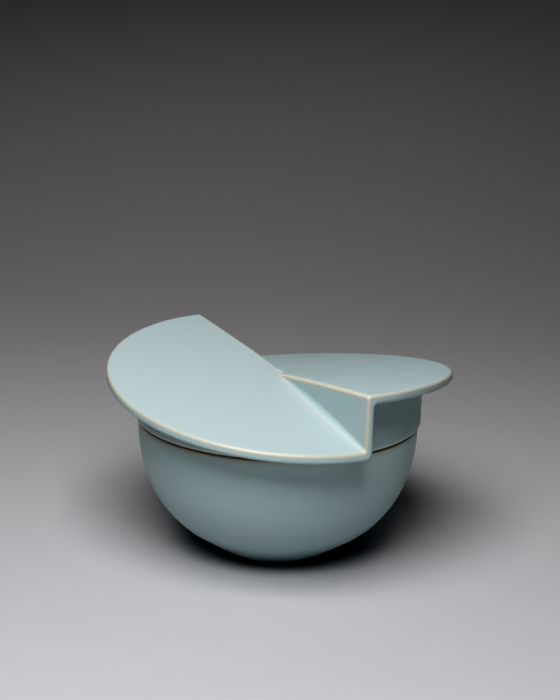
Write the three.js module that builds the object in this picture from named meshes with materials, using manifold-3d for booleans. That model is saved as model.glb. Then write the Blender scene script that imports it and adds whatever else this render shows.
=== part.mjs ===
// Lidded rice bowl in celadon-glazed stoneware.
//
// Millimetres, +Z up. The origin is on the bowl's axis, level with the underside of its foot ring.
// +X is to the right and +Y to the back. Two fired pieces: the bowl, and the lid that rests on its rim.
//
// The lid's top is one round, slightly domed disc cut across, near its diameter. Each half slopes along
// the cut, one up and the other down, so that an upright wall fills the step between them and changes
// sides at the middle. A collar under the disc carries it on the bowl's rim, and a ring inside the collar drops into
// the bowl's mouth and keeps the lid centred.

import * as THREE from 'three'
import { mergeVertices } from 'three/addons/utils/BufferGeometryUtils.js'
import Module from 'manifold-3d'

const wasm = await Module()
wasm.setup()

// Bowl
const BOWL_RADIUS = 60
const RIM_HEIGHT = 58.85
const WALL_CURVE = 2.32          // exponent of the wall's curve: 2 is an ellipse, more is fuller
const WALL_AT_RIM = 4
const FLOOR_THICKNESS = 3.6
const LIP_ROUNDING = 1.5
const FOOT_RADIUS = 23.5
const FOOT_WIDTH = 3.2
const FOOT_RECESS = 1.9
const FOOT_EDGE = 0.5
const FLARE_RADIUS = 37          // inward from here the wall runs straight down to the foot

// Lid
const SEAT_GAP = 0.3             // between the bowl's rim and the lid's seat
const PLATE_RADIUS = 73.6
const PLATE_THICKNESS = 4.15     // measured upright
const PLATE_CENTRE_HEIGHT = 76.1 // of the slopes, under the crown
const CROWN = 1.5                // swell of both halves at the middle
const SLOPE = 0.156              // rise of a half per millimetre along its slope
const SLOPE_TURN = 29.2          // degrees from the +Y axis towards -X, the way the left half rises
const FRONT_CUT_TURN = 28.5      // degrees from the +Y axis towards -X, in front of the middle
const BACK_CUT_TURN = 33.2       // the same behind the middle
const STEP_WALL_LEFT = -0.6      // the step wall's left and right faces, to the right of the axis
const STEP_WALL_RIGHT = 3
const COLLAR_RADIUS = 61.1
const COLLAR_THICKNESS = 3.8
const COLLAR_EDGE = 0.6
const SEAT_THICKNESS = 2.8
const RING_CLEARANCE = 1
const RING_THICKNESS = 3
const RING_DEPTH = 4.8

// Facets
const BOWL_SEGMENTS = 64
const LID_SEGMENTS = 120
const CROWN_SEGMENTS = 40        // a third of the lid's, so that their corners meet
const CROWN_STEPS = 5
const CURVE_STEPS = 13
const CURVE_TRIM = 0.05          // radians left out of a wall's curve where it meets the foot or the lip
const LIP_STEPS = 3

const REACH = 200                // longer than the object, for cutting tools
const CROWN_MARGIN = 1.1         // the crown's surface reaches this far, in disc radii

// The left half rises to the back, the right half falls
const LEFT = 1
const RIGHT = -1

const seatHeight = RIM_HEIGHT + SEAT_GAP
const mouthRadius = BOWL_RADIUS - WALL_AT_RIM

const glaze = { color: 0xb4cccb, roughness: 0.3, metalness: 0 }

const bowl = new THREE.Mesh(bowlGeometry(), new THREE.MeshStandardMaterial(glaze))
bowl.name = 'bowl'

const lid = new THREE.Mesh(lidGeometry(), new THREE.MeshStandardMaterial(glaze))
lid.name = 'lid'

const group = new THREE.Group()
group.add(bowl, lid)

// ---------------------------------------------------------------- bowl

// Radius at a height, on a wall that stands upright at `top` and levels out at `bottom`.
function wallRadius(height, radius, top, bottom) {
  const down = (top - height) / (top - bottom)
  return radius * (1 - down ** WALL_CURVE) ** (1 / WALL_CURVE)
}

function wallHeight(r, radius, top, bottom) {
  return top - (top - bottom) * (1 - (r / radius) ** WALL_CURVE) ** (1 / WALL_CURVE)
}

// A wall's points are counted by an angle that is 0 at the axis and a quarter turn at the rim.
function curveAngle(height, top, bottom) {
  return Math.acos(((top - height) / (top - bottom)) ** (WALL_CURVE / 2))
}

function wallPoints(from, to, radius, top, bottom) {
  const points = []
  for (let i = 0; i <= CURVE_STEPS; i++) {
    const angle = from + ((to - from) * i) / CURVE_STEPS
    const down = Math.cos(angle) ** (2 / WALL_CURVE)
    const height = top - down * (top - bottom)
    points.push(new THREE.Vector2(wallRadius(height, radius, top, bottom), height))
  }
  return points
}

function arcPoints(centre, radius, from, to, steps) {
  const points = []
  for (let i = 0; i <= steps; i++) {
    const angle = from + ((to - from) * i) / steps
    points.push(new THREE.Vector2(centre.x + radius * Math.cos(angle), centre.y + radius * Math.sin(angle)))
  }
  return points
}

function bowlGeometry() {
  const quarter = Math.PI / 2
  const flareTop = wallHeight(FLARE_RADIUS, BOWL_RADIUS, RIM_HEIGHT, 0)
  const insideBottom = FOOT_RECESS + FLOOR_THICKNESS
  const lipHeight = RIM_HEIGHT - LIP_ROUNDING
  const outerLip = new THREE.Vector2(BOWL_RADIUS - LIP_ROUNDING, lipHeight)
  const innerLip = new THREE.Vector2(mouthRadius + LIP_ROUNDING, lipHeight)
  const outerStart = curveAngle(flareTop, RIM_HEIGHT, 0)
  const outerEnd = curveAngle(lipHeight, RIM_HEIGHT, 0) - CURVE_TRIM
  const innerEnd = curveAngle(lipHeight, RIM_HEIGHT, insideBottom) - CURVE_TRIM
  const profile = [
    new THREE.Vector2(0, FOOT_RECESS),
    new THREE.Vector2(FOOT_RADIUS - FOOT_WIDTH - FOOT_EDGE, FOOT_RECESS),
    new THREE.Vector2(FOOT_RADIUS - FOOT_WIDTH, 0),
    new THREE.Vector2(FOOT_RADIUS - FOOT_EDGE, 0),
    new THREE.Vector2(FOOT_RADIUS, FOOT_EDGE / 2),
    ...wallPoints(outerStart, outerEnd, BOWL_RADIUS, RIM_HEIGHT, 0),
    ...arcPoints(outerLip, LIP_ROUNDING, 0, quarter, LIP_STEPS),
    ...arcPoints(innerLip, LIP_ROUNDING, quarter, 2 * quarter, LIP_STEPS),
    ...wallPoints(innerEnd, 0, mouthRadius, RIM_HEIGHT, insideBottom),
  ]
  profile[profile.length - 1].x = 0
  return upright(new THREE.LatheGeometry(profile, BOWL_SEGMENTS))
}

// ---------------------------------------------------------------- lid

function lidGeometry() {
  const disc = solid(upright(new THREE.CylinderGeometry(PLATE_RADIUS, PLATE_RADIUS, REACH, LID_SEGMENTS)))
  const middle = -PLATE_THICKNESS / 2

  const leftGround = solid(ground(-REACH, STEP_WALL_RIGHT))
  const rightGround = solid(ground(STEP_WALL_LEFT, REACH))
  const wallGround = solid(ground(STEP_WALL_LEFT, STEP_WALL_RIGHT))

  const leftPlate = layer(LEFT, -PLATE_THICKNESS, 0).intersect(leftGround)
  const rightPlate = layer(RIGHT, -PLATE_THICKNESS, 0).intersect(rightGround)
  const underEither = layer(LEFT, -REACH, 0).add(layer(RIGHT, -REACH, 0))
  const overEither = layer(LEFT, -PLATE_THICKNESS, REACH).add(layer(RIGHT, -PLATE_THICKNESS, REACH))
  const stepWall = wallGround.intersect(underEither).intersect(overEither)
  const top = leftPlate.add(rightPlate).add(stepWall).intersect(disc)

  const underLeft = layer(LEFT, -REACH, middle).intersect(leftGround)
  const underRight = layer(RIGHT, -REACH, middle).intersect(rightGround)
  const collar = solid(collarGeometry()).intersect(underLeft.add(underRight))

  return geometryOf(top.add(collar))
}

// A point beside the cut. The cut bends a little at the middle: `turn` gives the way it runs there.
// `along` is measured from the middle to the back, `across` from the axis to the right.
function cutPoint(turn, along, across) {
  const angle = THREE.MathUtils.degToRad(turn)
  return new THREE.Vector2(
    across * Math.cos(angle) - along * Math.sin(angle),
    across * Math.sin(angle) + along * Math.cos(angle),
  )
}

// The bend of a line that keeps `across` from both runs of the cut.
function bendPoint(across) {
  const half = THREE.MathUtils.degToRad(BACK_CUT_TURN - FRONT_CUT_TURN) / 2
  return cutPoint(FRONT_CUT_TURN, across * Math.tan(half), across)
}

// A tall prism over the strip of ground between two lines that run along the cut.
function ground(from, to) {
  const outline = [
    cutPoint(FRONT_CUT_TURN, -REACH, from),
    cutPoint(FRONT_CUT_TURN, -REACH, to),
    bendPoint(to),
    cutPoint(BACK_CUT_TURN, REACH, to),
    cutPoint(BACK_CUT_TURN, REACH, from),
    bendPoint(from),
  ]
  return new THREE.ExtrudeGeometry(new THREE.Shape(outline), { depth: REACH, bevelEnabled: false })
}

// Points from the axis out past the disc's rim, on a level swollen by the crown.
function crownPoints(level) {
  const points = []
  for (let i = 0; i <= CROWN_STEPS; i++) {
    const share = (CROWN_MARGIN * i) / CROWN_STEPS
    points.push(new THREE.Vector2(PLATE_RADIUS * share, level + CROWN * (1 - share ** 2)))
  }
  return points
}

// Everything between two levels that slope and swell with the left or the right half, both measured
// upright from its top face.
function layer(rise, low, high) {
  const turn = THREE.MathUtils.degToRad(SLOPE_TURN)
  const slopeX = -rise * SLOPE * Math.sin(turn)
  const slopeY = rise * SLOPE * Math.cos(turn)
  const shear = new THREE.Matrix4().set(1, 0, 0, 0, 0, 1, 0, 0, slopeX, slopeY, 1, 0, 0, 0, 0, 1)
  const profile = [...crownPoints(low), ...crownPoints(high).reverse()]
  const slab = upright(new THREE.LatheGeometry(profile, CROWN_SEGMENTS))
  slab.applyMatrix4(shear)
  slab.translate(0, 0, PLATE_CENTRE_HEIGHT)
  return solid(slab)
}

// Collar, seat on the bowl's rim, and the ring that drops into the bowl's mouth.
function collarGeometry() {
  const collarInside = COLLAR_RADIUS - COLLAR_THICKNESS
  const ringRadius = mouthRadius - RING_CLEARANCE
  const ringInside = ringRadius - RING_THICKNESS
  const ringBottom = seatHeight - RING_DEPTH
  const profile = [
    new THREE.Vector2(ringRadius, seatHeight),
    new THREE.Vector2(COLLAR_RADIUS - COLLAR_EDGE, seatHeight),
    new THREE.Vector2(COLLAR_RADIUS, seatHeight + COLLAR_EDGE),
    new THREE.Vector2(COLLAR_RADIUS, REACH),
    new THREE.Vector2(collarInside, REACH),
    new THREE.Vector2(collarInside, seatHeight + SEAT_THICKNESS),
    new THREE.Vector2(ringInside, seatHeight + SEAT_THICKNESS),
    new THREE.Vector2(ringInside, ringBottom),
    new THREE.Vector2(ringRadius - COLLAR_EDGE, ringBottom),
    new THREE.Vector2(ringRadius, ringBottom + COLLAR_EDGE),
    new THREE.Vector2(ringRadius, seatHeight),
  ]
  return upright(new THREE.LatheGeometry(profile, LID_SEGMENTS))
}

// ---------------------------------------------------------------- solids

// Turns a shape made about +Y so that its axis is +Z.
function upright(geometry) {
  return geometry.rotateX(Math.PI / 2)
}

function solid(geometry) {
  const bare = geometry.clone()
  bare.deleteAttribute('normal')
  bare.deleteAttribute('uv')
  const merged = mergeVertices(bare)
  return new wasm.Manifold(new wasm.Mesh({
    numProp: 3,
    vertProperties: merged.attributes.position.array,
    triVerts: merged.index.array,
  }))
}

function geometryOf(manifold) {
  const mesh = manifold.getMesh()
  const geometry = new THREE.BufferGeometry()
  geometry.setAttribute('position', new THREE.BufferAttribute(mesh.vertProperties, 3))
  geometry.setIndex(new THREE.BufferAttribute(mesh.triVerts, 1))
  geometry.computeVertexNormals()
  return geometry
}

export default group
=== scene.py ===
"""A lidded rice bowl in celadon-glazed stoneware, on a plain studio sweep.

The bowl is turned from a profile. The lid is described by distance fields, in millimetres: its halves,
step, collar and ring are blended with the soft roundings that a coat of glaze gives, and the surface
where the field is zero is meshed. Everything is then scaled to metres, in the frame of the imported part.
"""

import math

import bpy
import numpy as np
from mathutils import Matrix, Vector


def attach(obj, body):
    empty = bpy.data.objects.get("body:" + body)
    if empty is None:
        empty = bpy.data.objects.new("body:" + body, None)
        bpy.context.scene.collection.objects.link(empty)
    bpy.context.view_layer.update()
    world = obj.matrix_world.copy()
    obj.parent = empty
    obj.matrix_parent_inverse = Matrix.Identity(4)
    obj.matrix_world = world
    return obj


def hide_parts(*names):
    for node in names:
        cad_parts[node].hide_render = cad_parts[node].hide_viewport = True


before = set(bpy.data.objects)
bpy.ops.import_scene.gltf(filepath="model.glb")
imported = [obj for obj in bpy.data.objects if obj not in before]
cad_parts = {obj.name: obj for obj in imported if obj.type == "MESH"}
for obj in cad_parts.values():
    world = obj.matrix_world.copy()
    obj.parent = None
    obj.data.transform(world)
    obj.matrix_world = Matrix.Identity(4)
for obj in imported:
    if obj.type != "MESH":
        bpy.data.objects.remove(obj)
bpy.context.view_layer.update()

MM = 0.001

# ------------------------------------------------------------------ sizes, in millimetres
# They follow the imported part, and stay a little inside its outermost faces.

# Bowl. The wall is a superellipse with this exponent, 2 being a plain ellipse. Inward from the flare's
# radius it runs straight down to the foot.
BOWL_RADIUS = 60.0
RIM_HEIGHT = 58.85
WALL_CURVE = 2.32
WALL_AT_RIM = 4.0
FLOOR_TOP = 5.5
LIP_ROUNDING = 1.5
FLARE_RADIUS = 37.0
FOOT_RADIUS = 23.5
FOOT_WIDTH = 3.2
FOOT_RECESS = 1.9
SOLE_OUTER_ROUNDING = 0.5
SOLE_INNER_ROUNDING = 0.4
FLARE_START = 303       # degrees around the sole's outer rounding, where it points along the flare
RECESS_ROUNDING = 1.0
RECESS_LEAN = 0.2
BOWL_SEGMENTS = 240
WALL_STEPS = 70

# Lid: two half discs of one outline, sloping opposite ways about one axis, and the wall between them.
PLATE_RADIUS = 73.55
PLATE_THICKNESS = 4.1
PLATE_CENTRE_HEIGHT = 76.05
CROWN = 1.5
SLOPE = 0.156
SLOPE_TURN = math.radians(29.2)
FRONT_CUT_TURN = math.radians(28.5)
BACK_CUT_TURN = math.radians(33.2)
STEP_WALL_LEFT = -0.6
STEP_WALL_RIGHT = 2.95

# Lid: the collar that stands on the bowl's rim, and the ring that drops into its mouth.
COLLAR_RADIUS = 61.05
COLLAR_INSIDE = 57.3
SEAT_HEIGHT = 59.2
SEAT_TOP = 61.9
RING_RADIUS = 54.95
RING_INSIDE = 52.05
RING_BOTTOM = 54.4

# Lid: the roundings of its edges, and the fillets in its corners.
EDGE_ROUNDING = 1.3
UNDER_ROUNDING = 1.5
STEP_ROUNDING = 1.6
BACK_STEP_ROUNDING = 0.8
STEP_FILLET = 2.5
STEP_FILLET_AT_RIM = 1.0
WALL_ROUNDING = 2.8
UNDER_FILLET = 1.4
SEAT_ROUNDING = 0.5
COLLAR_FILLET = 1.8
RING_FILLET = 0.6

# Lid: the grid that its surface is found on, and the number of triangles it is thinned to.
NET_STEP = 0.6
LID_TRIANGLES = 150000


# ------------------------------------------------------------------ distance fields

def round_max(radius, *fields):
    """The overlap of several solids, with their convex edges rounded to a radius."""
    outside = [np.maximum(f + radius, 0.0) for f in fields]
    sharp = np.maximum.reduce(fields)
    return np.minimum(sharp, -radius) + np.sqrt(sum(o * o for o in outside))


def round_min(radius, first, second):
    """The union of two solids, with the concave corner between them filled to a radius."""
    near_first = np.maximum(radius - first, 0.0)
    near_second = np.maximum(radius - second, 0.0)
    sharp = np.minimum(first, second)
    return np.maximum(sharp, radius) - np.sqrt(near_first * near_first + near_second * near_second)


def lid_faces(x, y, z):
    """Distances to the lid's faces, negative on the clay's side."""
    upright = 1.0 / math.hypot(1.0, SLOPE)
    radius = np.hypot(x, y)
    swell = CROWN * (1.0 - (radius / PLATE_RADIUS) ** 2)
    along = y * math.cos(SLOPE_TURN) - x * math.sin(SLOPE_TURN)
    front = x * math.cos(FRONT_CUT_TURN) + y * math.sin(FRONT_CUT_TURN)
    back = x * math.cos(BACK_CUT_TURN) + y * math.sin(BACK_CUT_TURN)
    across = np.maximum(front, back)
    left_top = (z - PLATE_CENTRE_HEIGHT - swell - SLOPE * along) * upright
    right_top = (z - PLATE_CENTRE_HEIGHT - swell + SLOPE * along) * upright
    return {
        "along": along,
        "left_top": left_top,
        "right_top": right_top,
        "left_face": STEP_WALL_LEFT - across,
        "right_face": across - STEP_WALL_RIGHT,
        "radius": radius,
    }


def step_fillet(faces):
    """The radius in the corner at the step's foot: widest halfway out, and nothing at the middle."""
    outward = np.minimum(np.abs(faces["along"]) / PLATE_RADIUS, 1.0)
    return STEP_FILLET_AT_RIM * outward + 4.0 * STEP_FILLET * outward * (1.0 - outward)


def lid_skins(faces):
    """The lid's whole top skin and whole under skin, each with its step."""
    in_front = faces["along"] < 0.0

    def choose(front_face, back_face):
        return np.where(in_front, faces[front_face], faces[back_face])

    low_top = choose("left_top", "right_top")
    high_top = choose("right_top", "left_top")
    step_face = choose("left_face", "right_face")
    wall_back = choose("right_face", "left_face")
    thickness = PLATE_THICKNESS / math.hypot(1.0, SLOPE)

    half_step = SLOPE * np.abs(faces["along"])
    top = round_min(step_fillet(faces), step_face, low_top)
    rounding = np.where(in_front, STEP_ROUNDING, BACK_STEP_ROUNDING)
    top = round_max(np.minimum(rounding, half_step), top, high_top)
    under = round_min(np.minimum(UNDER_FILLET, half_step), wall_back, -high_top - thickness)
    under = round_max(np.minimum(WALL_ROUNDING, half_step), under, -low_top - thickness)
    return top, under


def lid_field(x, y, z):
    """Distance to the lid's surface, negative inside it."""
    faces = lid_faces(x, y, z)
    radius = faces["radius"]
    top, under = lid_skins(faces)
    rim = radius - PLATE_RADIUS
    disc = np.maximum(round_max(EDGE_ROUNDING, top, rim), round_max(UNDER_ROUNDING, under, rim))
    buried = top + 0.5 * PLATE_THICKNESS

    outer, inner = radius - COLLAR_RADIUS, RING_INSIDE - radius
    collar = round_max(SEAT_ROUNDING, outer, COLLAR_INSIDE - radius, SEAT_HEIGHT - z)
    collar = np.maximum(collar, buried)
    seat = round_max(SEAT_ROUNDING, outer, inner, SEAT_HEIGHT - z, z - SEAT_TOP)
    ring = round_max(SEAT_ROUNDING, radius - RING_RADIUS, inner, RING_BOTTOM - z, z - SEAT_TOP)
    base = np.minimum(collar, round_min(RING_FILLET, seat, ring))
    return round_min(COLLAR_FILLET, disc, base)


def surface_net(field, low, high, step):
    """Corners and quads of the surface where a field is zero, with one corner in each grid cell it cuts."""
    axes = [np.arange(a, b + step, step, dtype=np.float32) for a, b in zip(low, high)]
    shape = tuple(len(a) for a in axes)
    values = np.empty(shape, np.float32)
    grid_y, grid_z = np.meshgrid(axes[1], axes[2], indexing="ij")
    for i, x in enumerate(axes[0]):
        values[i] = field(np.full_like(grid_y, x), grid_y, grid_z)
    inside = values < 0.0

    cell = tuple(n - 1 for n in shape)
    count = np.zeros(cell, np.int8)
    corners = [(i, j, k) for i in (0, 1) for j in (0, 1) for k in (0, 1)]
    for i, j, k in corners:
        count += inside[i:i + cell[0], j:j + cell[1], k:k + cell[2]]
    cut = np.argwhere((count > 0) & (count < 8))
    number = np.full(cell, -1, np.int32)
    number[tuple(cut.T)] = np.arange(len(cut))

    total = np.zeros((len(cut), 3))
    hits = np.zeros(len(cut))
    for axis in range(3):
        for start in (c for c in corners if c[axis] == 0):
            end = list(start)
            end[axis] = 1
            a = values[tuple((cut + start).T)]
            b = values[tuple((cut + end).T)]
            crosses = (a < 0.0) != (b < 0.0)
            share = np.where(crosses, a / np.where(crosses, a - b, 1.0), 0.0)
            point = cut + np.asarray(start, float)
            point[:, axis] += share
            total[crosses] += point[crosses]
            hits += crosses
    points = np.asarray(low, float) + step * total / hits[:, None]

    quads = []
    for axis in range(3):
        u, v = [(1, 2), (2, 0), (0, 1)][axis]
        lower = [slice(None)] * 3
        upper = [slice(None)] * 3
        lower[axis] = slice(0, -1)
        upper[axis] = slice(1, None)
        edges = np.argwhere(inside[tuple(lower)] != inside[tuple(upper)])
        leaving = inside[tuple(edges.T)]
        around = []
        for du, dv in ((1, 1), (0, 1), (0, 0), (1, 0)):
            place = edges.copy()
            place[:, u] -= du
            place[:, v] -= dv
            around.append(number[tuple(place.T)])
        quad = np.stack(around, axis=1)
        quad[~leaving] = quad[~leaving][:, ::-1]
        quads.append(quad)
    return points, np.concatenate(quads)


def gradient(field, points, reach=0.02):
    """The field's slope at each point, from its values a short reach to either side."""
    slope = np.empty_like(points)
    for axis in range(3):
        ahead = points.copy()
        behind = points.copy()
        ahead[:, axis] += reach
        behind[:, axis] -= reach
        slope[:, axis] = (field(*ahead.T) - field(*behind.T)) / (2.0 * reach)
    return slope


def settle(field, points, rounds, least=0.05):
    """Move points along the field's slope until they lie on its zero surface.

    The square of the slope counts as at least `least`, so that a point where the field is flat stays near.
    """
    for _ in range(rounds):
        slope = gradient(field, points)
        steepness = np.maximum((slope * slope).sum(axis=1), least)
        points = points - (field(*points.T) / steepness)[:, None] * slope
    return points


# ------------------------------------------------------------------ meshes

def new_object(name, points, polygons):
    """A smooth-shaded object from points in millimetres."""
    mesh = bpy.data.meshes.new(name)
    mesh.from_pydata((np.asarray(points) * MM).tolist(), [], [[int(i) for i in p] for p in polygons])
    mesh.update()
    mesh.shade_smooth()
    piece = bpy.data.objects.new(name, mesh)
    bpy.context.collection.objects.link(piece)
    return piece


def apply_modifiers(piece):
    """Bake a piece's modifiers into its mesh."""
    graph = bpy.context.evaluated_depsgraph_get()
    baked = bpy.data.meshes.new_from_object(piece.evaluated_get(graph))
    old = piece.data
    piece.modifiers.clear()
    piece.data = baked
    bpy.data.meshes.remove(old)


def read_points(mesh):
    """A mesh's points, in millimetres."""
    flat = np.empty(len(mesh.vertices) * 3)
    mesh.vertices.foreach_get("co", flat)
    return flat.reshape(-1, 3) / MM


def store(mesh, name, values):
    """Keep three numbers for each corner of the mesh, for its material to read."""
    layer = mesh.attributes.new(name, "FLOAT_VECTOR", "POINT")
    layer.data.foreach_set("vector", np.stack(values, axis=1).astype(np.float32).ravel())


def make_lid():
    """The lid, meshed from its field, with the distances that its glaze is painted by."""
    margin = 1.5
    reach = PLATE_RADIUS + margin
    top = PLATE_CENTRE_HEIGHT + SLOPE * PLATE_RADIUS + margin
    low, high = (-reach, -reach, RING_BOTTOM - margin), (reach, reach, top)
    points, quads = surface_net(lid_field, low, high, NET_STEP)
    points = settle(lid_field, points, 4)
    piece = new_object("glazed_lid", points, quads)

    thin = piece.modifiers.new("thin_out", "DECIMATE")
    thin.ratio = min(1.0, LID_TRIANGLES / (2.0 * len(quads)))
    apply_modifiers(piece)
    mesh = piece.data
    points = settle(lid_field, read_points(mesh), 2)
    mesh.vertices.foreach_set("co", (points * MM).ravel())
    mesh.update()
    mesh.shade_smooth()

    faces = lid_faces(*points.T)
    top, under = lid_skins(faces)
    store(mesh, "edge", (top, under, faces["radius"] - PLATE_RADIUS))
    store(mesh, "front_step", (faces["left_face"], faces["right_top"], faces["left_top"]))
    slope = gradient(lid_field, points)
    upward = slope[:, 2] / np.linalg.norm(slope, axis=1)
    store(mesh, "step_place", (faces["along"], faces["left_face"] - step_fillet(faces), upward))
    return piece


def wall_radius(height, radius, top, bottom):
    """Radius at a height, on a wall that stands upright at top and levels out at bottom."""
    down = (top - height) / (top - bottom)
    return radius * (1.0 - down ** WALL_CURVE) ** (1.0 / WALL_CURVE)


def wall_points(low_radius, top_height, radius, bottom):
    """Points up a bowl's wall, from a radius near its bottom to a height near its rim."""
    top = RIM_HEIGHT
    depth = top - bottom
    low_down = (1.0 - (low_radius / radius) ** WALL_CURVE) ** (1.0 / WALL_CURVE)
    angles = np.linspace(math.acos(low_down), math.acos((top - top_height) / depth), WALL_STEPS)
    heights = top - depth * np.cos(angles)
    return [(wall_radius(h, radius, top, bottom), h) for h in heights]


def arc(centre, radius, start, end, steps):
    """Points along an arc between two angles in degrees."""
    angles = np.radians(np.linspace(start, end, steps))
    return [(centre[0] + radius * math.cos(a), centre[1] + radius * math.sin(a)) for a in angles]


def line(start, end, steps):
    """Points along a straight line, without its two ends."""
    return [tuple(point) for point in np.linspace(start, end, steps)[1:-1]]


def bowl_profile():
    """Radius and height around the bowl, from the middle of its underside to the middle of its floor."""
    mouth = BOWL_RADIUS - WALL_AT_RIM
    lip = RIM_HEIGHT - LIP_ROUNDING
    foot_inside = FOOT_RADIUS - FOOT_WIDTH
    recess_end = foot_inside - RECESS_LEAN - RECESS_ROUNDING
    sole_start = foot_inside - 0.5 * RECESS_LEAN + SOLE_INNER_ROUNDING
    sole_end = FOOT_RADIUS - SOLE_OUTER_ROUNDING

    recess = [(r, FOOT_RECESS) for r in np.linspace(0.0, recess_end, 10)]
    recess_corner = arc((recess_end, FOOT_RECESS - RECESS_ROUNDING), RECESS_ROUNDING, 90, 0, 5)
    sole_inner = arc((sole_start, SOLE_INNER_ROUNDING), SOLE_INNER_ROUNDING, 180, 270, 4)
    sole_outer = arc((sole_end, SOLE_OUTER_ROUNDING), SOLE_OUTER_ROUNDING, 270, FLARE_START, 4)
    outer = wall_points(FLARE_RADIUS, lip, BOWL_RADIUS, 0.0)
    flare = line(sole_outer[-1], outer[0], 16)
    outer_lip = arc((BOWL_RADIUS - LIP_ROUNDING, lip), LIP_ROUNDING, 0, 90, 9)
    inner_lip = arc((mouth + LIP_ROUNDING, lip), LIP_ROUNDING, 90, 180, 9)
    inner = wall_points(0.5, lip, mouth, FLOOR_TOP)[::-1]
    foot = recess + recess_corner[1:] + sole_inner + sole_outer + flare
    return foot + outer + outer_lip[1:] + inner_lip + inner[1:]


def make_bowl():
    """The bowl's profile turned about the upright axis and closed with a fan at each end."""
    profile = bowl_profile()
    rings = []
    angles = np.linspace(0.0, 2.0 * math.pi, BOWL_SEGMENTS, endpoint=False)
    points = [(0.0, 0.0, FOOT_RECESS)]
    for r, z in profile[1:]:
        rings.append(len(points))
        points += [(r * math.cos(a), r * math.sin(a), z) for a in angles]
    points.append((0.0, 0.0, profile[-1][1]))

    neighbours = [(i, (i + 1) % BOWL_SEGMENTS) for i in range(BOWL_SEGMENTS)]
    faces = []
    for i, j in neighbours:
        faces.append((0, rings[0] + j, rings[0] + i))
        faces.append((len(points) - 1, rings[-1] + i, rings[-1] + j))
    for a, b in zip(rings[:-1], rings[1:]):
        faces += [(a + i, a + j, b + j, b + i) for i, j in neighbours]
    return new_object("glazed_bowl", points, faces)


# ------------------------------------------------------------------ materials

class Nodes:
    """A material, and a short way to add and join its shader nodes."""

    def __init__(self, name):
        self.material = bpy.data.materials.new(name)
        self.material.use_nodes = True
        self.tree = self.material.node_tree
        self.tree.nodes.clear()
        self.out = self.tree.nodes.new("ShaderNodeOutputMaterial")

    def add(self, kind, inputs=(), **settings):
        node = self.tree.nodes.new("ShaderNode" + kind)
        for key, value in settings.items():
            setattr(node, key, value)
        for key, value in dict(inputs).items():
            self.put(node.inputs[key], value)
        return node

    def put(self, socket, value):
        if isinstance(value, bpy.types.NodeSocket):
            self.tree.links.new(value, socket)
        else:
            socket.default_value = value

    def math(self, operation, *values):
        """The result of a Math node. Inputs it isn't given keep their own value."""
        node = self.add("Math", operation=operation)
        for socket, value in zip(node.inputs, values):
            self.put(socket, value)
        return node.outputs[0]

    def times(self, *values):
        """The product of two or more values."""
        product = values[0]
        for value in values[1:]:
            product = self.math("MULTIPLY", product, value)
        return product

    def ramp(self, value, low, high, start=0.0, end=1.0):
        """A smooth step from start to end as value goes from low to high."""
        span = {"Value": value, "From Min": low, "From Max": high, "To Min": start, "To Max": end}
        node = self.add("MapRange", span, interpolation_type="SMOOTHSTEP")
        return node.outputs["Result"]

    def bell(self, value, width):
        """1 where value is 0, falling to 0 at a few widths."""
        share = self.math("DIVIDE", value, width)
        return self.math("EXPONENT", self.times(share, share, -1.0))

    def mix(self, share, first, second):
        """A colour between two."""
        node = self.add("Mix", data_type="RGBA")
        self.put(node.inputs[0], share)
        self.put(node.inputs[6], first)
        self.put(node.inputs[7], second)
        return node.outputs[2]

    def noise(self, place, scale, detail=2.0):
        inputs = {"Vector": place, "Scale": scale, "Detail": detail, "Roughness": 0.55}
        return self.add("TexNoise", inputs).outputs["Fac"]


# The glaze: its middle tone, the green and blue that drift in it, a greyer tone on the tops as painted
# sheen, a brighter one on the right half's tops as painted light, a paler tone that is partly thin glaze
# and partly painted light, pooled, and a dark one for painted shade.
CELADON = (0.388, 0.495, 0.502, 1.0)
CELADON_GREEN = (0.395, 0.498, 0.494, 1.0)
CELADON_BLUE = (0.378, 0.490, 0.510, 1.0)
CELADON_TOP_SHEEN = (0.397, 0.472, 0.483, 1.0)
CELADON_RIGHT_LIT = (0.418, 0.516, 0.522, 1.0)
CELADON_THIN_AND_LIT = (0.445, 0.557, 0.553, 1.0)
CELADON_POOLED = (0.415, 0.475, 0.482, 1.0)
CELADON_PAINTED_SHADE = (0.10, 0.16, 0.15, 1.0)
# Where the glaze has run thin and the clay shows through.
CREAM = (0.58, 0.54, 0.42, 1.0)
RIM_CREAM = (0.45, 0.43, 0.35, 1.0)
TAN = (0.42, 0.36, 0.25, 1.0)
BLUSH = (0.56, 0.57, 0.52, 1.0)
SAND = (0.49, 0.485, 0.44, 1.0)
# Brown of the lip, also used as painted shade in the gap under the lid.
UMBER_AND_GAP_SHADE = (0.15, 0.125, 0.085, 1.0)
# Bare clay.
CLAY = (0.36, 0.27, 0.18, 1.0)
CLAY_PALE = (0.52, 0.42, 0.30, 1.0)


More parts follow.
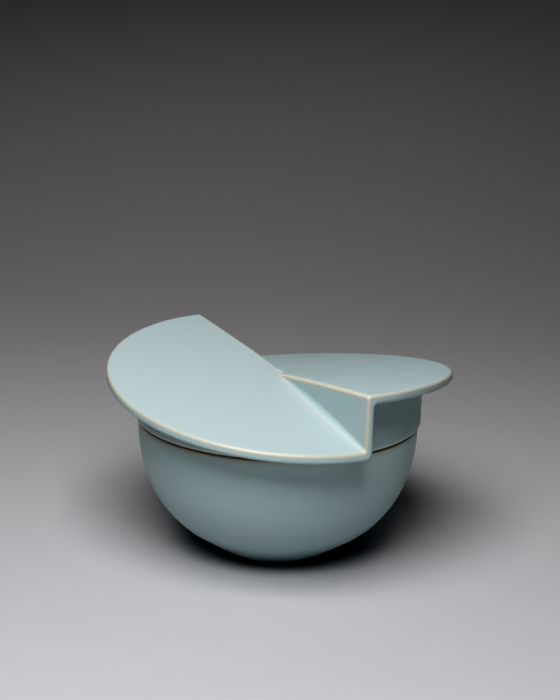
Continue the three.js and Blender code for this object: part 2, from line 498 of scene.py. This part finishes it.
def glaze_material(name, layers, bare):
    """Celadon glaze over clay.

    layers(n, radius, z) gives a mask, a strength and a colour for each layer that lies over the glaze, from
    the lowest up. bare(n, radius, z) gives the mask of the unglazed clay. Both are told the radius and the
    height of the place, in millimetres.
    """
    n = Nodes(name)
    place = n.add("TexCoord").outputs["Object"]
    scaled = n.add("VectorMath", {0: place, 1: (1.0 / MM,) * 3}, operation="MULTIPLY").outputs[0]
    x, y, z = n.add("SeparateXYZ", {"Vector": scaled}).outputs
    radius = n.math("SQRT", n.math("ADD", n.times(x, x), n.times(y, y)))

    cloud = n.ramp(n.noise(place, 30.0, 3.0), 0.35, 0.65)
    drift = n.ramp(n.noise(place, 75.0, 2.0), 0.35, 0.65)
    grain = n.ramp(n.noise(place, 620.0, 2.0), 0.3, 0.7)
    color = n.mix(cloud, CELADON_GREEN, CELADON_BLUE)
    color = n.mix(n.times(drift, 0.5), color, CELADON)
    color = n.mix(n.times(grain, 0.08), color, CELADON_POOLED)
    for mask, strength, layer_color in layers(n, radius, z):
        color = n.mix(n.times(mask, strength), color, layer_color)
    clay = bare(n, radius, z)
    speck = n.ramp(n.noise(place, 1400.0, 3.0), 0.35, 0.75)
    color = n.mix(clay, color, n.mix(speck, CLAY, CLAY_PALE))

    satin = n.ramp(n.noise(place, 90.0, 2.0), 0.2, 0.8, 0.33, 0.42)
    roughness = n.ramp(clay, 0.0, 1.0, satin, 0.85)
    waves = n.noise(place, 150.0, 2.0)
    ripple = n.add("Bump", {"Strength": 0.10, "Distance": 0.0006, "Height": waves}).outputs[0]
    pores = n.ramp(n.noise(place, 900.0, 2.0), 0.66, 0.74)
    skin = n.math("ADD", n.noise(place, 1600.0, 2.0), n.times(pores, -1.2))
    relief = n.ramp(clay, 0.0, 1.0, 0.05, 0.5)
    fine = {"Strength": relief, "Distance": 0.0002, "Height": skin, "Normal": ripple}
    normal = n.add("Bump", fine).outputs[0]
    surface = {"Base Color": color, "Roughness": roughness, "IOR": 1.5, "Normal": normal}
    shader = n.add("BsdfPrincipled", surface)
    n.put(n.out.inputs["Surface"], shader.outputs[0])
    return n.material


def lid_material():
    """The lid's glaze, painted by the distances to the lid's faces that make_lid stored."""

    def attribute(n, name):
        vector = n.add("Attribute", attribute_name=name).outputs["Vector"]
        return n.add("SeparateXYZ", {"Vector": vector}).outputs

    def edge_line(n, first, second, width, shift=0.0):
        """A line along the edge where two faces meet.

        A positive shift moves it that far onto the first face, a negative one onto the second.
        """
        near = n.ramp(n.math("MAXIMUM", first, second), -2.6, -1.6)
        offset = n.math("ADD", n.math("SUBTRACT", first, second), -shift)
        return n.times(near, n.bell(offset, width))

    def layers(n, radius, z):
        top, under, rim = attribute(n, "edge")
        face, high, low = attribute(n, "front_step")
        along, fold, upward = attribute(n, "step_place")

        # Painted sheen: tops that face up get a greyer glaze tone standing in for the glaze's reflection.
        flat = n.times(n.ramp(top, -0.6, -0.2), n.ramp(upward, 0.9, 0.97))
        # Painted shade: upright faces are darkened a little.
        steep = n.ramp(upward, 0.6, 0.2)
        # Painted shade: everything well below the lid's top, its underside, collar and ring, is darkened.
        under_lid_shade = n.ramp(top, -4.0, -5.0)
        inside_rim = n.ramp(rim, -0.4, -1.3)

        # The front step: its upper edge, and the fold at its foot where the glaze has run together.
        on_step = n.times(n.ramp(along, 0.6, -1.2), inside_rim)
        on_low_half = n.times(on_step, n.ramp(low, -1.0, -0.3))
        pooled = n.times(on_low_half, n.bell(n.math("ADD", fold, 1.0), 0.9))
        fold_line = n.times(on_low_half, n.bell(n.math("ADD", fold, -0.35), 0.7))
        step_halo = n.times(on_step, edge_line(n, face, high, 1.6))
        step_tan = n.times(on_step, edge_line(n, face, high, 0.8, 1.3))
        step_edge = n.times(on_step, edge_line(n, face, high, 0.7, 0.15))

        # The back step's upper edge: a beige line of thin glaze, with painted shade darkening the edge.
        back_face = n.math("SUBTRACT", STEP_WALL_LEFT - STEP_WALL_RIGHT, face)
        at_back = n.times(n.ramp(along, 2.0, 6.0), inside_rim)
        back_edge = n.times(at_back, edge_line(n, back_face, low, 1.8))

        # The lower edge of the collar.
        seat = n.bell(n.math("SUBTRACT", z, SEAT_HEIGHT + 0.75), 0.45)
        seat = n.times(seat, n.ramp(radius, COLLAR_RADIUS - 1.4, COLLAR_RADIUS - 0.5))
        return [
            # Painted sheen on the tops, then painted light brightening the right half's tops.
            (flat, 1.0, CELADON_TOP_SHEEN),
            (n.times(flat, n.ramp(face, -0.3, -0.9)), 1.0, CELADON_RIGHT_LIT),
            # Painted shade on upright faces and under the lid.
            (steep, 0.05, CELADON_PAINTED_SHADE),
            (under_lid_shade, 0.1, CELADON_PAINTED_SHADE),
            (edge_line(n, top, rim, 2.2), 0.45, CELADON_BLUE),
            (step_halo, 0.4, CREAM),
            (pooled, 0.55, CELADON_POOLED),
            (fold_line, 0.5, SAND),
            (edge_line(n, top, rim, 0.6, -1.15), 0.35, TAN),
            (step_tan, 0.35, TAN),
            (edge_line(n, top, rim, 0.85), 1.0, RIM_CREAM),
            (step_edge, 1.0, CREAM),
            # Painted shade along the back step's edge, under its beige line of thin glaze.
            (back_edge, 0.2, CELADON_PAINTED_SHADE),
            (back_edge, 0.5, TAN),
            (edge_line(n, under, rim, 0.4), 0.3, TAN),
            (seat, 0.8, BLUSH),
        ]

    def bare(n, radius, z):
        under_seat = n.ramp(z, SEAT_HEIGHT + 0.3, SEAT_HEIGHT + 0.1)
        in_ring = n.ramp(radius, COLLAR_INSIDE + 0.2, COLLAR_INSIDE - 0.3)
        ring = n.times(n.ramp(z, SEAT_TOP + 0.6, SEAT_TOP + 0.2), in_ring)
        return n.math("MAXIMUM", under_seat, ring)

    return glaze_material("celadon_lid", layers, bare)


def bowl_material():
    """The bowl's glaze: paler up the wall, partly thinner glaze and partly painted light, brown at the lip
    and darkened there as painted shade, and missing on the lip and under the foot.
    """

    def layers(n, radius, z):
        # A paler band up to the rim: partly thinner glaze, partly painted light where the lid's shadow
        # falls.
        thin = n.ramp(z, RIM_HEIGHT - 14.0, RIM_HEIGHT - 4.0)
        outside = n.ramp(radius, BOWL_RADIUS - 2.6, BOWL_RADIUS - 1.6)
        lip = n.times(outside, n.ramp(z, RIM_HEIGHT - 4.0, RIM_HEIGHT - 0.6))
        # The lip's top: brown of thin glaze, darkened further as painted shade of the gap under the lid.
        edge = n.ramp(z, RIM_HEIGHT - 1.2, RIM_HEIGHT - 0.4)
        return [
            (thin, 0.7, CELADON_THIN_AND_LIT),
            (lip, 0.4, TAN),
            (edge, 0.7, UMBER_AND_GAP_SHADE),
        ]

    def bare(n, radius, z):
        lip = n.times(n.ramp(z, RIM_HEIGHT - 0.3, RIM_HEIGHT - 0.1), 0.8)
        foot = n.ramp(z, 0.35, 0.15)
        return n.math("MAXIMUM", lip, foot)

    return glaze_material("celadon_bowl", layers, bare)


# ------------------------------------------------------------------ studio, in metres

PAPER_FRONT = (0.449, 0.451, 0.463, 1.0)
PAPER_BACK = (0.463, 0.450, 0.457, 1.0)
WHITE = (1.0, 1.0, 1.0, 1.0)

# Each light's name, place, the point it faces, its width and height, and its watts. The softbox is the key;
# the front panel fills the bowl, and the back panel lays a weak sheen on the lid.
LIGHTS = (
    ("softbox", (-0.062, -0.343, 0.560), (-0.03, 0.0, 0.0), (0.39, 0.39), 4.2),
    ("front_panel", (0.06, -1.2, 0.39), (0.0, 0.0, 0.03), (0.7, 0.4), 0.65),
    ("back_panel", (-0.1, 0.75, 0.62), (0.0, 0.0, 0.05), (0.9, 0.5), 0.4),
)
BLACK_LEVEL = 0.018

# A long lens, looking down on the bowl from in front. The lens and the sensor are in millimetres.
CAMERA_PLACE = (0.0, -0.6382, 0.2579)
CAMERA_PITCH = math.radians(14.93)
CAMERA_ROLL = math.radians(1.52)
LENS = 79.8
SENSOR_WIDTH = 36.0


def paper_material():
    """Pale paper, cooler in front and warmer behind."""
    n = Nodes("studio_paper")
    place = n.add("TexCoord").outputs["Object"]
    depth = n.add("SeparateXYZ", {"Vector": place}).outputs["Y"]
    tint = n.mix(n.ramp(depth, -0.05, 0.3), PAPER_FRONT, PAPER_BACK)
    paper = n.mix(n.times(n.noise(place, 60.0, 3.0), 0.027), tint, WHITE)
    shader = n.add("BsdfPrincipled", {"Base Color": paper, "Roughness": 0.8})
    n.put(n.out.inputs["Surface"], shader.outputs[0])
    return n.material


def make_sweep():
    """A pale floor that curves up into a back wall."""
    half_width = 2.5
    front, back, height, bend = -1.5, 1.75, 2.6, 1.4
    bend_points = arc((back - bend, bend), bend, -90, 0, 24)
    outline = [(front, 0.0)] + bend_points + [(back, height)]
    points = [(side * half_width, y, z) for y, z in outline for side in (-1, 1)]
    quads = [(2 * i, 2 * i + 1, 2 * i + 3, 2 * i + 2) for i in range(len(outline) - 1)]
    sweep = new_object("studio_sweep", np.array(points) / MM, quads)
    sweep.data.materials.append(paper_material())


def area_light(name, place, target, size, watts):
    data = bpy.data.lights.new(name, "AREA")
    data.shape = "RECTANGLE"
    data.size, data.size_y = size
    data.energy = watts
    light = bpy.data.objects.new(name, data)
    light.location = place
    light.rotation_euler = (Vector(target) - Vector(place)).to_track_quat("-Z", "Y").to_euler()
    bpy.context.collection.objects.link(light)


def make_lights():
    for light in LIGHTS:
        area_light(*light)
    world = bpy.data.worlds.new("studio")
    world.use_nodes = True
    world.node_tree.nodes["Background"].inputs["Strength"].default_value = 0.0
    bpy.context.scene.world = world


def set_tones():
    """The photo's steep contrast, with its darkest tones let down to black."""
    view = bpy.context.scene.view_settings
    view.view_transform = "Standard"
    view.look = "High Contrast"
    view.use_curve_mapping = True
    view.curve_mapping.black_level = (BLACK_LEVEL,) * 3
    view.curve_mapping.update()


def make_camera():
    forward = Vector((0.0, math.cos(CAMERA_PITCH), -math.sin(CAMERA_PITCH)))
    up = Vector((0.0, math.sin(CAMERA_PITCH), math.cos(CAMERA_PITCH)))
    right = Vector((1.0, 0.0, 0.0))
    across = math.cos(CAMERA_ROLL) * right + math.sin(CAMERA_ROLL) * up
    above = -math.sin(CAMERA_ROLL) * right + math.cos(CAMERA_ROLL) * up
    data = bpy.data.cameras.new("camera")
    data.lens = LENS
    data.sensor_width = SENSOR_WIDTH
    data.clip_start = 0.05
    camera = bpy.data.objects.new("camera", data)
    turn = Matrix((across, above, -forward)).transposed().to_4x4()
    camera.matrix_world = Matrix.Translation(CAMERA_PLACE) @ turn
    bpy.context.collection.objects.link(camera)
    bpy.context.scene.camera = camera


# ------------------------------------------------------------------ the scene

make_camera()
make_sweep()
make_lights()
set_tones()

bowl = make_bowl()
bowl.data.materials.append(bowl_material())
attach(bowl, "bowl_body")
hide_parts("bowl")

lid = make_lid()
lid.data.materials.append(lid_material())
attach(lid, "lid_body")
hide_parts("lid")
